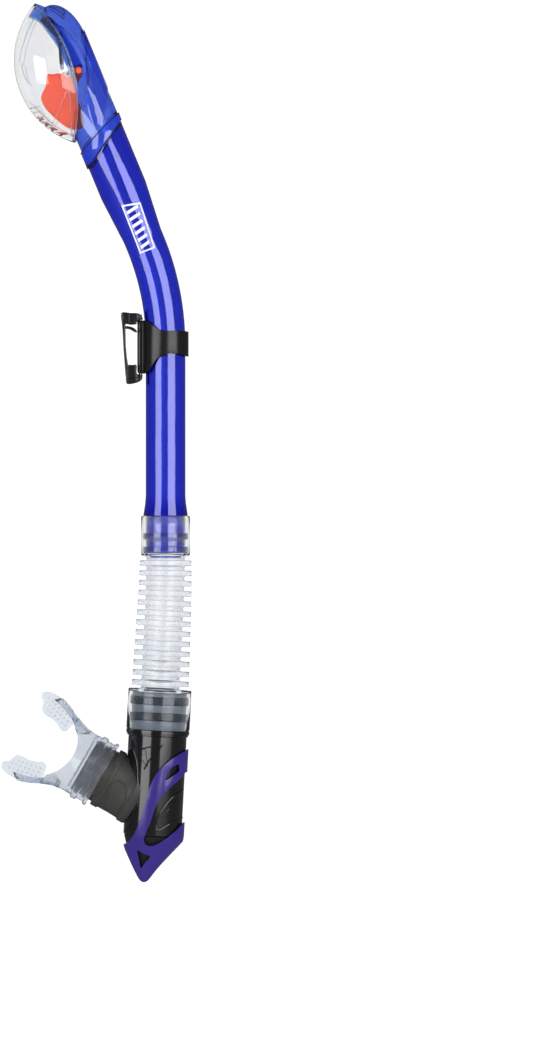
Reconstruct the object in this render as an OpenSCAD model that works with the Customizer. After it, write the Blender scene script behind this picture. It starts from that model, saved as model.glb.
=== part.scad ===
// Dry-top snorkel: a bent tube with a float valve in its head, a ribbed flexible hose,
// a purge chamber with a guard, a swivelling mouthpiece and a sliding mask-strap keeper.
// The origin is on the tube's axis where the bend starts, inside the keeper's band.
// +X points to the back of the head, away from the mouthpiece, and +Z up the tube.

/* [Tube] */
// Outer radius of the tube
tube_r = 11; // [10:0.1:13.2]
// Wall of the tube
tube_wall = 1.8; // [1.2:0.1:2.4]
// Straight length from the bend down to the hose
straight_len = 94; // [76:1:120]
// Height over which the tube flares out to the hose
flare_h = 11; // [6:1:16]
// Radius of the bend, on the tube's axis
bend_r = 147; // [110:1:190]
// Angle of the bend
bend_angle = 22.5; // [10:0.5:30]
// Length of the cone above the bend
cone_h = 27; // [18:1:36]
// Distance from the bend to the head's collar, along the axis
collar_z = 57.4; // [50:0.1:72]
// Slant of the collar
collar_slant = 33; // [10:1:38]
// Length of the plug that holds the head
plug_h = 5; // [3:0.5:6]

/* [Head] */
// Radius of the head's socket, outside
head_r = 13.4; // [12.6:0.1:15.5]
// Wall of the head's shell
head_wall = 1.6; // [1.2:0.1:2.2]
// How far the collar stands out from the socket
collar_out = 0.7; // [0.3:0.1:1.5]
// Height of the collar
collar_h = 4; // [2.5:0.5:6]
// Height of the head's straight back above the bend
back_h = 119; // [108:1:130]
// Height of the rounded crown over the straight back
crown_h = 22; // [16:1:28]
// Half length of the float chamber
chamber_half_len = 40; // [38:0.5:46]
// Half width of the float chamber
chamber_half_w = 21.7; // [20.5:0.1:25]
// Wall of the clear dome
dome_wall = 1.6; // [1.2:0.1:2.2]
// Height of the chamber's middle above the bend, along the tube's axis
chamber_z = 105.2; // [100:0.1:115]
// Distance of the chamber's middle in front of the tube's axis
chamber_x = 10.2; // [8:0.1:12]
// Lean of the chamber against the tube's axis
chamber_lean = 6.6; // [3:0.1:9]
// Radius of the curved rim where the dome meets the shell
rim_r = 73.4; // [68:0.1:90]
// How far the rim bulges back past the chamber's middle
rim_bulge = 10.7; // [8:0.1:12]
// Gap from the rim to the wall behind the float
wall_set_back = 5; // [4.5:0.1:6]

/* [Float valve] */
// Half width of the float
float_half_w = 10; // [7:0.1:10.5]
// Radius of the float's pivot pin
float_pin_r = 1; // [0.8:0.05:1.2]
// Angle of the open flap against its seat
flap_open = 12; // [8:0.5:13]
// Half width of the flap
flap_half_w = 8; // [6.8:0.1:8.1]
// Thickness of the flap
flap_t = 1.2; // [0.9:0.1:1.4]
// Thickness of the flap's silicone seal
seal_t = 0.8; // [0.5:0.1:1]
// Radius of the flap's hinge pin
flap_pin_r = 0.7; // [0.6:0.05:0.8]

/* [Hose] */
// Radius of the hose's core, outside
hose_r = 10.5; // [10:0.1:12]
// Wall of the hose's core
hose_wall = 1.5; // [1:0.1:2]
// Number of ribs
rib_count = 13; // [10:1:16]
// Pitch of the ribs
rib_pitch = 5.5; // [4.6:0.1:6.5]
// Thickness of a rib
rib_t = 3.1; // [2:0.1:3.4]
// Radius of the top rib
rib_top_r = 14.3; // [13:0.1:16]
// Radius of the bottom rib
rib_bottom_r = 15.7; // [13:0.1:18]
// Tilt of the chamber end against the tube
hose_tilt = 3; // [0:0.5:5]
// Length of the upper cuff
upper_cuff_h = 22; // [19:0.5:28]
// Wall of the upper cuff
upper_cuff_wall = 0.9; // [0.7:0.1:1.4]
// Length of the lower cuff
lower_cuff_h = 22.3; // [19:0.1:28]
// Wall of the lower cuff
lower_cuff_wall = 1.2; // [0.8:0.1:1.6]

/* [Purge chamber] */
// Outer radius of the chamber
purge_r = 16; // [15:0.1:18]
// Wall of the chamber
purge_wall = 2; // [1.5:0.1:2.4]
// Length of the chamber below the hose
purge_len = 58; // [54:0.5:68]
// Thickness of the chamber's flange
flange_t = 3.4; // [2:0.1:5]
// Distance from the flange down to the mouth port's axis
port_drop = 41.5; // [39:0.5:44]
// Angle between the mouth barrel and the chamber
mouth_angle = 63; // [58:1:72]
// Radius of the airway through the barrel
airway_r = 11.5; // [10:0.1:12]
// Radius of the mouth barrel
barrel_r = 17.2; // [16.5:0.1:18.5]
// Half width of the barrel across its flat sides
barrel_flat = 14.5; // [14:0.1:15.5]
// Length of the barrel from the chamber's axis
barrel_len = 31; // [29:0.5:38]
// Thickness of the guard
guard_t = 1.4; // [1:0.1:2]
// Depth of the guard's nose below the chamber
nose_h = 26.5; // [22:0.5:32]
// Lean of the guard's nose
nose_lean = 7; // [0:0.5:9]
// Lift of the purge valve
purge_lift = 1.2; // [0.6:0.1:1.6]

/* [Mouthpiece] */
// Length of the spigot inside the mouthpiece
spigot_h = 13; // [11:0.5:16]
// Length of the mouthpiece's cuff
mouth_cuff_h = 12.3; // [10.5:0.1:15]
// Wall of the mouthpiece's cuff
mouth_cuff_wall = 1.6; // [1.2:0.1:2.2]
// Half span across the bite tabs
bite_half_span = 26.4; // [24:0.1:30]
// Reach of the bite tabs past the cuff
bite_reach = 39; // [36:0.5:44]
// Thickness of the bite tabs
bite_t = 4; // [2.5:0.1:5]

/* [Strap keeper] */
// Thickness of the keeper's band
band_t = 1.4; // [1:0.1:2]
// Height of the band at the back of the tube
band_h = 13.2; // [10:0.1:16]
// Height of the keeper's flange at the strap loop
keeper_h = 29.2; // [26:0.1:34]
// Length of the strap slot
slot_h = 21.5; // [16:0.5:24]
// Width of the strap slot
slot_w = 5.2; // [4.2:0.1:7]
// Depth of the strap loop
loop_depth = 9; // [6:0.5:12]
// Radius of the loop's pin
loop_pin_r = 0.9; // [0.8:0.05:1]

/* [Hidden] */

$fn = 64;
eps = 0.01;
far = 200;
run_gap = 0.05;      // radial clearance of a pin in a moving piece
push_gap = 0.1;      // radial clearance of a sleeve over a spigot
swing_gap = 0.3;     // gap between faces that pass each other
lap = 0.3;           // how far the upper straight laps the end of the bend
seam = 0.02;         // step in radius at that lap

bore_r = tube_r - tube_wall;
plug_r = head_r - head_wall - push_gap;
plug_bore_r = plug_r - tube_wall;

// Hose ends
upper_ridge_r = tube_r + 1.6;
upper_cuff_r = upper_ridge_r + upper_cuff_wall;
spigot_len = upper_cuff_h - 1.6;
ridge_h = 3.6;
bend_rib = 2;                                     // the rib that the hose bends at
first_rib_drop = upper_cuff_h + 3.9;
bend_drop = straight_len + first_rib_drop + bend_rib * rib_pitch;
rib_run = (rib_count - 1 - bend_rib) * rib_pitch;
lower_cuff_top = rib_run + 3.3;
chamber_top = lower_cuff_top + lower_cuff_h + push_gap;
neck_r = purge_r - 1;
lower_ridge_r = purge_r + 0.1;
lower_cuff_bore = lower_ridge_r + push_gap;
lower_cuff_r = lower_cuff_bore + lower_cuff_wall;
purge_bore = purge_r - purge_wall;
purge_bottom = chamber_top + purge_len;
port_z = chamber_top + port_drop;

// Mouth end, measured along the barrel from the chamber's axis
spigot_r = barrel_r - 1.8;
mouth_ridge_r = spigot_r + 0.9;
cuff_bore = mouth_ridge_r + push_gap;
cuff_r = cuff_bore + mouth_cuff_wall;
cuff_start = barrel_len + 1.8;
cuff_end = cuff_start + mouth_cuff_h;
spigot_end = min(barrel_len + spigot_h, cuff_end - 1);

// Head, in the float chamber's own frame
wall_r = rim_r + wall_set_back;
wall_drop = 8;
rim_centre_x = rim_bulge - rim_r;
wall_t = 1.5;
pivot_x = rim_bulge + 2.2;
pivot_z = -3.5;
roller_x = pivot_x - 6.2;
arm_in = max(float_half_w - 0.6, flap_half_w + 1.4);
arm_out = arm_in + 2.4;
boss_r = float_pin_r + 0.9;
seat_x = rim_bulge - 2.1;
hinge_x = seat_x - 1.55;
hinge_z = 15.2;
knuckle_r = flap_pin_r + 0.6;
housing_half_w = flap_half_w + 1;
housing_wall = 1.2;

// Strap keeper
band_bore = tube_r + 0.3;
band_r = band_bore + band_t;
keeper_top = 0.46 * keeper_h;
keeper_bottom = keeper_top - keeper_h;
band_top = 0.58 * band_h;
band_bottom = band_top - band_h;
pin_x = -(tube_r + 2.9);
knuckle = loop_pin_r + 0.8;
lug_r = loop_pin_r + 0.7;
lug_h = 3.5;
bar_t = 2.3;
slot_right = pin_x - knuckle - swing_gap;
slot_left = slot_right - slot_w;
slot_top = keeper_top - 3;

// ---------- frames ----------

// Above the bend, along the upper straight of the tube
module in_head() {
    translate([-bend_r * (1 - cos(bend_angle)), 0, bend_r * sin(bend_angle)])
        rotate([0, -bend_angle, 0]) children();
}

// The float chamber's middle, with +Z along the chamber
module in_chamber() {
    in_head() translate([-chamber_x, 0, chamber_z]) rotate([0, chamber_lean, 0]) children();
}

// Below the hose's bend, along the purge chamber
module in_lower() {
    translate([0, 0, -bend_drop]) rotate([0, hose_tilt, 0]) children();
}

// The mouth barrel, with +Z out towards the mouth and +X up
module in_port() {
    in_lower() translate([0, 0, -port_z]) rotate([0, -mouth_angle, 0]) children();
}

// ---------- shared shapes ----------

// A cylinder between two heights
module rod(r, z0, z1) {
    translate([0, 0, z0]) cylinder(r = r, h = z1 - z0);
}

// A cylinder along Y, centred
module cross_rod(r, half) {
    rotate([90, 0, 0]) cylinder(r = r, h = 2 * half, center = true);
}

// A side outline in X and Z, spread evenly to both sides of Y
module side_plate(points, half) {
    rotate([90, 0, 0]) linear_extrude(height = 2 * half, center = true) polygon(points);
}

// All that lies under a plane that rises towards +X
module under_plane(z) {
    translate([0, 0, z]) rotate([0, -collar_slant, 0])
        translate([-far / 2, -far / 2, -far]) cube(far);
}

// A spindle with circular-arc sides, pointed at both ends
module spindle(half_len, half_w) {
    arc_r = (half_len * half_len + half_w * half_w) / (2 * half_w);
    span = asin(half_len / arc_r);
    steps = 14;
    rotate_extrude()
        polygon([for (i = [-steps : steps])
            [max(0, arc_r * cos(span * i / steps) - arc_r + half_w),
             arc_r * sin(span * i / steps)]]);
}

// The straight back of the head with its rounded crown
module back_body(r, top, crown) {
    steps = 8;
    rotate_extrude()
        polygon(concat([[0, collar_z - 24], [r, collar_z - 24]],
            [for (i = [0 : steps]) [r * cos(90 * i / steps), top + crown * sin(90 * i / steps)]]));
}

// The space on the float's side of a curved wall
module front_side(r, drop) {
    translate([rim_centre_x, 0, -drop]) cross_rod(r, 40, $fn = 96);
}

// ---------- tube ----------

module tube_bend(r) {
    translate([-bend_r, 0, 0]) rotate([90, 0, 0])
        rotate_extrude(angle = bend_angle, $fn = 180) translate([bend_r, 0]) circle(r = r);
}

module upper_tube() {
    color("mediumblue") difference() {
        union() {
            rod(tube_r, -straight_len + flare_h, 0);
            translate([0, 0, -straight_len])
                cylinder(r1 = upper_cuff_r - 1.1, r2 = tube_r, h = flare_h);
            rod(tube_r, -straight_len - spigot_len, -straight_len);
            for (top = [0.46, 0.82])
                rod(upper_ridge_r, -straight_len - top * spigot_len - ridge_h,
                    -straight_len - top * spigot_len);
            tube_bend(tube_r);
            in_head() {
                rod(tube_r + seam, -lap, 4);
                translate([0, 0, 4]) cylinder(r1 = tube_r, r2 = head_r - 0.1, h = cone_h);
                intersection() {
                    rod(head_r - 0.1, 4 + cone_h, far);
                    under_plane(collar_z);
                }
                intersection() {
                    rod(plug_r, 4 + cone_h, far);
                    under_plane(collar_z + plug_h);
                }
            }
        }
        rod(bore_r, -far, 0);
        tube_bend(bore_r);
        in_head() {
            rod(bore_r + seam, -lap, 4);
            translate([0, 0, 4]) cylinder(r1 = bore_r, r2 = plug_bore_r, h = cone_h);
            rod(plug_bore_r, 4 + cone_h, far);
        }
    }
}

module head_gasket() {
    color("midnightblue") in_head() intersection() {
        difference() {
            rod(head_r - 0.1, 4 + cone_h, far);
            rod(plug_r, 0, far);
        }
        difference() {
            under_plane(collar_z + 0.8);
            under_plane(collar_z);
        }
    }
}

// ---------- head ----------

module head_outside() {
    in_chamber() spindle(chamber_half_len, chamber_half_w);
    in_head() {
        back_body(head_r, back_h, crown_h);
        difference() {
            rod(head_r + collar_out, collar_z - 24, collar_z + 24);
            difference() {
                rod(far, collar_z - 24, collar_z + 30);
                under_plane(collar_z + collar_h);
            }
        }
    }
}

module head_hollow() {
    in_chamber() spindle(chamber_half_len - head_wall, chamber_half_w - head_wall);
    in_head() back_body(head_r - head_wall, back_h, crown_h - head_wall);
}

// The air passage from the flap's window back through the wall
module valve_passage() {
    side_plate([[seat_x + housing_wall, 0], [seat_x + housing_wall, 19],
        [5, 26], [wall_set_back + 6, 24], [rim_bulge + wall_set_back + 4, 12],
        [rim_bulge + wall_set_back + 4, 0]], housing_half_w - housing_wall);
}

module head_shell() {
    color("royalblue") difference() {
        head_outside();
        in_chamber() front_side(rim_r, 0);
        difference() {
            head_hollow();
            in_chamber() front_side(wall_r + wall_t, wall_drop);
        }
        intersection() {
            head_hollow();
            in_chamber() front_side(wall_r, wall_drop);
        }
        in_chamber() valve_passage();
        in_head() under_plane(collar_z + 0.8);
        in_head() intersection() {
            rod(plug_r + push_gap, 0, far);
            under_plane(collar_z + plug_h + 1);
        }
        in_chamber() translate([pivot_x, 0, pivot_z])
            cross_rod(float_pin_r, chamber_half_w - 5.6);
    }
}

module dome() {
    slot_rows = 4;
    color("ghostwhite", 0.4) in_chamber() difference() {
        spindle(chamber_half_len, chamber_half_w);
        spindle(chamber_half_len - dome_wall, chamber_half_w - dome_wall);
        difference() {
            translate([-1.5 * chamber_half_w, -far / 4, -far / 2]) cube([far / 2, far / 2, far]);
            front_side(rim_r, 0);
        }
        for (row = [0 : slot_rows - 1], side = [-1, 1])
            translate([-chamber_half_w / 2, side * 3.6, -0.55 * chamber_half_len - 3.6 * row])
                cube([chamber_half_w, 4, 1.8], center = true);
    }
}

module valve_housing() {
    color("dodgerblue") in_chamber() difference() {
        intersection() {
            union() {
                side_plate([[seat_x, -2], [seat_x, hinge_z + knuckle_r + 0.5],
                    [seat_x - 3, hinge_z + knuckle_r + 0.8], [0, 28.5], [3.5, 31],
                    [rim_bulge + wall_set_back + 2, 20], [rim_bulge + wall_set_back + 2, -2]],
                    housing_half_w);
                for (side = [-1, 1]) translate([0, side * (housing_half_w - 0.4), 0]) {
                    translate([hinge_x, 0, hinge_z]) cross_rod(knuckle_r, 0.4);
                    translate([hinge_x, -0.4, hinge_z - knuckle_r])
                        cube([seat_x - hinge_x + 1, 0.8, 2 * knuckle_r]);
                }
            }
            front_side(wall_r, wall_drop);
            spindle(chamber_half_len - head_wall - 1, chamber_half_w - head_wall - 1);
        }
        valve_passage();
        translate([seat_x - 1, 2.5 - flap_half_w, 2.4]) cube([3, 2 * flap_half_w - 5, 9.6]);
        translate([hinge_x, 0, hinge_z]) cross_rod(flap_pin_r, far / 2);
    }
}

// ---------- float and flap ----------

module float() {
    color("tomato") in_chamber() difference() {
        union() {
            intersection() {
                side_plate([[-4.2, -0.6], [2.4, -1.8], [4.4, -6], [8, -9], [8.4, -20],
                    [8.4, -29], [7, -33.5], [2.5, -33], [-2.6, -29.3], [-7, -23.2],
                    [-9.9, -18], [-10.8, -12.7], [-9.7, -9.9], [-6.4, -6]], float_half_w);
                rotate([90, 0, 90]) linear_extrude(height = far, center = true)
                    polygon([[-float_half_w, 0], [-float_half_w, -24], [-0.4 * float_half_w, -34],
                        [0.4 * float_half_w, -34], [float_half_w, -24], [float_half_w, 0]]);
                union() {
                    spindle(chamber_half_len - 4, chamber_half_w - 4);
                    translate([chamber_x, 0, 0]) rotate([0, -chamber_lean, 0])
                        rod(head_r - head_wall - 1.4, -50, 0);
                }
            }
            for (side = [-1, 1]) translate([0, side * (arm_in + arm_out) / 2, 0]) {
                side_plate([[-1, -2.5], [roller_x, pivot_z + boss_r], [pivot_x, pivot_z + boss_r],
                    [pivot_x, pivot_z - boss_r], [roller_x + 1, -11], [-1, -11]],
                    (arm_out - arm_in) / 2);
                translate([pivot_x, 0, pivot_z]) cross_rod(boss_r, (arm_out - arm_in) / 2);
            }
            translate([-0.6, 0.4 - arm_out, -10.6]) cube([3, 2 * arm_out - 0.8, 8]);
        }
        translate([pivot_x, 0, pivot_z]) cross_rod(float_pin_r + run_gap, far / 2);
        translate([roller_x, 0, pivot_z]) cross_rod(0.8, far / 2);
    }
}

module float_pin() {
    color("silver") in_chamber() translate([pivot_x, 0, pivot_z])
        cross_rod(float_pin_r, chamber_half_w - 5.6);
}

module float_rollers() {
    color("white") in_chamber() for (side = [-1, 1])
        translate([roller_x, side * (arm_out + 0.6), pivot_z]) difference() {
            cross_rod(1.8, 0.6);
            cross_rod(0.8, 1);
        }
}

module roller_pins() {
    color("black") in_chamber() for (side = [-1, 1])
        translate([roller_x, side * (arm_out + arm_in + 1.4) / 2, pivot_z])
            cross_rod(0.8, (arm_out - arm_in + 1.4) / 2);
}

// The flap's own frame: its hinge, swung open from the seat
module in_flap() {
    in_chamber() translate([hinge_x, 0, hinge_z]) rotate([0, flap_open, 0]) children();
}

module valve_flap() {
    plate_x = seat_x - 0.15 - seal_t - flap_t - hinge_x;
    color("darkslateblue") in_flap() difference() {
        union() {
            translate([plate_x, -flap_half_w, -14.6]) cube([flap_t, 2 * flap_half_w, 14]);
            cross_rod(knuckle_r, flap_half_w - 0.1);
        }
        cross_rod(flap_pin_r + run_gap, far / 2);
    }
}

module flap_seal() {
    color("whitesmoke") in_flap()
        translate([seat_x - 0.15 - seal_t - hinge_x, 1 - flap_half_w, -14.2])
            cube([seal_t, 2 * flap_half_w - 2, 12.2]);
}

module flap_pin() {
    color("silver") in_chamber() translate([hinge_x, 0, hinge_z])
        cross_rod(flap_pin_r, housing_half_w);
}

// ---------- hose ----------

function rib_r(i) = rib_top_r + (rib_bottom_r - rib_top_r) * i / (rib_count - 1);

module flex_hose() {
    color("lavender", 0.5) difference() {
        union() {
            rod(upper_cuff_r, -straight_len - upper_cuff_h, -straight_len);
            rod(hose_r, -bend_drop, -straight_len - upper_cuff_h + 1);
            for (i = [0 : bend_rib])
                translate([0, 0, (bend_rib - i) * rib_pitch - bend_drop])
                    cylinder(r = rib_r(i), h = rib_t, center = true);
            in_lower() {
                rod(hose_r, -lower_cuff_top - 1, 0);
                rod(lower_cuff_r, -lower_cuff_top - lower_cuff_h, -lower_cuff_top);
                for (i = [bend_rib + 1 : rib_count - 1])
                    translate([0, 0, (bend_rib - i) * rib_pitch])
                        cylinder(r = rib_r(i), h = rib_t, center = true);
            }
        }
        rod(upper_ridge_r, -straight_len - spigot_len, 1 - straight_len);
        rod(hose_r - hose_wall, -bend_drop, 0);
        translate([0, 0, -bend_drop]) sphere(r = hose_r - hose_wall + 0.15);
        in_lower() {
            rod(hose_r - hose_wall, -lower_cuff_top - 5, 0);
            rod(lower_cuff_bore, -far, -lower_cuff_top - 1.7);
        }
    }
}

// ---------- purge chamber ----------

module purge_chamber() {
    neck_top = lower_cuff_top + 2.3;
    color([0.08, 0.08, 0.08]) difference() {
        in_lower() union() {
            rod(neck_r, -chamber_top, -neck_top);
            for (top = [0.09, 0.48])
                rod(lower_ridge_r, -neck_top - top * lower_cuff_h - 4.5,
                    -neck_top - top * lower_cuff_h);
            rod(lower_cuff_r, -chamber_top - flange_t, -chamber_top);
            rod(purge_r, -purge_bottom, -chamber_top - flange_t);
        }
        in_lower() {
            rod(neck_r - purge_wall, -chamber_top - 4, 0);
            rod(purge_bore, -far, -chamber_top - flange_t);
        }
        in_port() rod(airway_r + 1.2, 0, 40);
    }
}

module mouth_elbow() {
    color([0.29, 0.29, 0.27]) in_port() difference() {
        union() {
            intersection() {
                rod(barrel_r, 2, barrel_len);
                translate([-50, -barrel_flat, 0]) cube([100, 2 * barrel_flat, 60]);
            }
            rod(spigot_r, barrel_len - 2, spigot_end);
            for (start = [3, 8.4]) rod(mouth_ridge_r, barrel_len + start, barrel_len + start + 3);
        }
        difference() {
            rotate([0, mouth_angle, 0]) rod(purge_r, -60, 60);
            rod(airway_r + 1.2, 9, 40);
        }
        rotate([0, mouth_angle, 0]) rod(purge_bore, -60, 60);
        rod(airway_r, 0, far);
        seal_space();
    }
}

// The ring between the barrel and the chamber's side, around the port
module seal_space() {
    intersection() {
        difference() {
            rod(airway_r + 2.6, 0, 40);
            rod(airway_r + 1.2, 0, 40);
        }
        rotate([0, mouth_angle, 0]) difference() {
            rod(purge_r + 0.8, -60, 60);
            rod(purge_r, -60, 60);
        }
    }
}

module port_seal() {
    color("dimgray") in_port() seal_space();
}

module guard_body(r, grow) {
    rod(r, -purge_bottom - 2.6, -chamber_top);
    translate([0, 0, -purge_bottom]) rotate([0, nose_lean, 0]) rotate_extrude()
        polygon([[0, 0], [0.95 * r, 0], [0.97 * r, -2.4], [0.9 * r, -0.2 * nose_h],
            [0.68 * r, -0.47 * nose_h], [0.4 * r, -0.77 * nose_h],
            [0.2 * r, -0.94 * nose_h - grow], [0, -nose_h - grow]]);
}

module purge_guard() {
    top = -chamber_top - flange_t;
    low = -purge_bottom;
    color([0.23, 0.18, 0.6]) in_lower() difference() {
        intersection() {
            guard_body(purge_r + guard_t, 0);
            side_plate([[far / 4, top - 6.2], [16.5, top - 6.8], [11.7, top - 9.7], [5.2, top - 15],
                [0.2, top - 21], [-2.9, top - 29.6], [-4.9, top - 38], [-6.8, top - 45.3],
                [-9.4, low + 2], [-12.7, low - 3.4], [-16, low - 5.6], [-far / 8, low - 7],
                [-far / 8, -far], [far / 4, -far]], 30);
        }
        guard_body(purge_r + run_gap, -guard_t - 0.6);
        side_plate([[far / 4, top - 46], [17, top - 46], [8, top - 55.4], [3.4, top - 58.5],
            [-0.7, low - 5], [-3.8, low - 3.4], [-4, low], [-1.4, top - 48.1], [0.6, top - 40.2],
            [2.8, top - 34.7], [6.7, top - 29.7], [11.2, top - 25.3], [15.3, top - 23.1],
            [far / 4, top - 19]], 30);
        side_plate([[12.5, top - 14.5], [12.9, top - 18.7], [5.7, top - 23.6], [7.1, top - 19.6],
            [9, top - 16.5]], 30);
        side_plate([[-7.4, low - 7.7], [-0.4, low - 11], [-5.4, low - 17.8]], 30);
    }
}

module purge_seat() {
    color("dimgray") in_lower() translate([0, 0, -purge_bottom]) difference() {
        rod(purge_bore, 0, 3);
        rod(purge_bore - 1.6, -1, 1.6);
        difference() {
            rod(purge_bore - 1.6, 1, 4);
            for (angle = [0, 60, 120]) rotate([0, 0, angle]) cube([60, 2, 8], center = true);
            rod(3.2, 1, 4);
        }
        rod(1.45, -1, 4);
    }
}

module purge_valve() {
    color("whitesmoke", 0.7) in_lower() translate([0, 0, -purge_bottom]) {
        rod(purge_bore - 2.1, 0.5, 1.5);
        rod(1.35, 1.5, 6.2);
        rod(2.3, 3.2 + purge_lift, 4.4 + purge_lift);
    }
}

// ---------- mouthpiece ----------

// One lip flange: a curved strip that runs out to the tip
module lip_flange() {
    side_plate([[cuff_r - 1, cuff_end + 4], [cuff_r, cuff_end + 7],
        [bite_half_span - 6.5, cuff_end + 14], [bite_half_span - 3, cuff_end + 20],
        [bite_half_span - 0.6, cuff_end + 27], [bite_half_span, cuff_end + 32],
        [bite_half_span - 1, cuff_end + bite_reach - 2],
        [bite_half_span - 3.6, cuff_end + bite_reach - 0.4],
        [bite_half_span - 4.4, cuff_end + 33],
        [bite_half_span - 4.8, cuff_end + 27], [bite_half_span - 6.6, cuff_end + 21],
        [bite_half_span - 9, cuff_end + 16], [bite_half_span - 12, cuff_end + 10]], 8);
}

module bite_tab() {
    side_plate([[bite_half_span - 10.9, cuff_end + 12], [bite_half_span - 2, cuff_end + 24],
        [bite_half_span - 1, cuff_end + 32], [bite_half_span - 1, cuff_end + bite_reach - 2],
        [bite_half_span - 4, cuff_end + bite_reach], [bite_half_span - 7, cuff_end + bite_reach - 2],
        [bite_half_span - 12.3, cuff_end + 34], [bite_half_span - 13.4, cuff_end + 29],
        [bite_half_span - 14.2, cuff_end + 24], [bite_half_span - 16.6, cuff_end + 20],
        [bite_half_span - 15.3, cuff_end + 17]], bite_t / 2);
}

module mouthpiece() {
    color("lavender", 0.5) in_port() difference() {
        union() {
            rod(cuff_r, cuff_start, cuff_end + 1);
            for (start = [0, 0.55])
                rod(cuff_r + 1.1, cuff_start + start * mouth_cuff_h,
                    cuff_start + start * mouth_cuff_h + 2.4);
            intersection() {
                rod(cuff_r, cuff_end, cuff_end + 30);
                side_plate([[-cuff_r, cuff_end], [cuff_r, cuff_end], [cuff_r, cuff_end + 7],
                    [15, cuff_end + 13.5], [10.7, cuff_end + 9], [4, cuff_end + 7],
                    [-4, cuff_end + 7], [-10.7, cuff_end + 9], [-15, cuff_end + 13.5],
                    [-cuff_r, cuff_end + 7]], 15);
            }
            lip_flange();
            bite_tab();
            mirror([1, 0, 0]) {
                lip_flange();
                bite_tab();
            }
        }
        rod(cuff_bore, 0, spigot_end + swing_gap);
        rod(airway_r, 0, cuff_end + 20);
    }
}

// ---------- strap keeper ----------

module keeper_band() {
    color([0.07, 0.07, 0.07]) difference() {
        union() {
            intersection() {
                rod(band_r, keeper_bottom, keeper_top);
                side_plate([[-band_r - 1, keeper_top], [-tube_r, keeper_top],
                    [-tube_r / 3, band_top + 0.6], [0, band_top], [band_r + 1, band_top],
                    [band_r + 1, band_bottom], [0, band_bottom], [-tube_r / 4, band_bottom - 2],
                    [-tube_r * 0.85, keeper_bottom], [-band_r - 1, keeper_bottom]], 30);
            }
            translate([pin_x, 0, 0]) rod(knuckle, keeper_bottom, keeper_top);
            translate([pin_x, -knuckle, keeper_bottom])
                cube([-pin_x - band_bore, 2 * knuckle, keeper_h]);
        }
        rod(band_bore, keeper_bottom - 1, keeper_top + 1);
        for (low = [keeper_bottom - 1, band_top])
            rod(band_bore + 0.7, low, low == band_top ? keeper_top + 1 : band_bottom);
        translate([pin_x, 0, 0]) rod(loop_pin_r, keeper_bottom - 1, keeper_top + 1);
    }
}

module strap_loop() {
    top = keeper_top + swing_gap + lug_h;
    low = keeper_bottom - swing_gap - lug_h;
    slot_bottom = slot_top - slot_h;
    left = slot_left - bar_t;
    color([0.05, 0.05, 0.05]) difference() {
        union() {
            side_plate([[left - 1, top], [pin_x - 1.6, top], [pin_x - 1.6, keeper_top + swing_gap],
                [slot_right, keeper_top + swing_gap - 1], [slot_right, slot_top],
                [slot_left - 0.4, slot_top], [slot_left + 1.4, slot_bottom],
                [slot_right, slot_bottom], [slot_right, keeper_bottom - swing_gap + 1],
                [pin_x - 1.6, keeper_bottom - swing_gap], [pin_x - 1.6, low],
                [slot_right - 1, low - 2.2], [slot_left, low - 2.4], [left + 1.4, low - 0.6],
                [left + 0.6, slot_bottom]], loop_depth / 2);
            for (z = [keeper_top + swing_gap, low]) {
                translate([pin_x, 0, 0]) rod(lug_r, z, z + lug_h);
                translate([pin_x - 3, -lug_r, z]) cube([3, 2 * lug_r, lug_h]);
            }
        }
        translate([pin_x, 0, 0]) rod(loop_pin_r + run_gap, -60, 60);
    }
}

module loop_pin() {
    color("dimgray") translate([pin_x, 0, 0])
        rod(loop_pin_r, keeper_bottom - swing_gap - lug_h + 0.4,
            keeper_top + swing_gap + lug_h - 0.4);
}

upper_tube();
head_shell();
head_gasket();
dome();
valve_housing();
float();
float_pin();
float_rollers();
roller_pins();
valve_flap();
flap_seal();
flap_pin();
flex_hose();
purge_chamber();
mouth_elbow();
port_seal();
purge_guard();
purge_seat();
purge_valve();
mouthpiece();
keeper_band();
strap_loop();
loop_pin();
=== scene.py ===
# A dry-top snorkel: bent blue tube with a float-valve head, clear ribbed hose,
# black purge chamber with its guard, clear mouthpiece and a black strap keeper.
import math

import bmesh
import bpy
from mathutils import Matrix, Vector


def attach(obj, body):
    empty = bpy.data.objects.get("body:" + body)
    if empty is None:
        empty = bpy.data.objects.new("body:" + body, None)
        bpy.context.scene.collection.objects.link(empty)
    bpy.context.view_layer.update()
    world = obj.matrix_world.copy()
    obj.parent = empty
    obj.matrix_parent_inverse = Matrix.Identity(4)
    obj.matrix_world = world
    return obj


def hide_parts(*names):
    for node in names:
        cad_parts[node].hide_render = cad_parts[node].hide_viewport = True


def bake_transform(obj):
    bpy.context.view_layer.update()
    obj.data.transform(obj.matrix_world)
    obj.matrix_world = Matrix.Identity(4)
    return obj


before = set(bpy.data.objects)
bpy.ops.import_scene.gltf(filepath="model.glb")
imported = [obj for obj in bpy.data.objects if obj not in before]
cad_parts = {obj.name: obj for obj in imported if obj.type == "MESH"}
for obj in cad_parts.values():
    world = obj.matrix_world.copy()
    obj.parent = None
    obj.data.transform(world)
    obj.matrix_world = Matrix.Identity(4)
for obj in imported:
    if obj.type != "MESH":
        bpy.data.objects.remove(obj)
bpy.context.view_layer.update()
MM = 0.001

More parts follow.
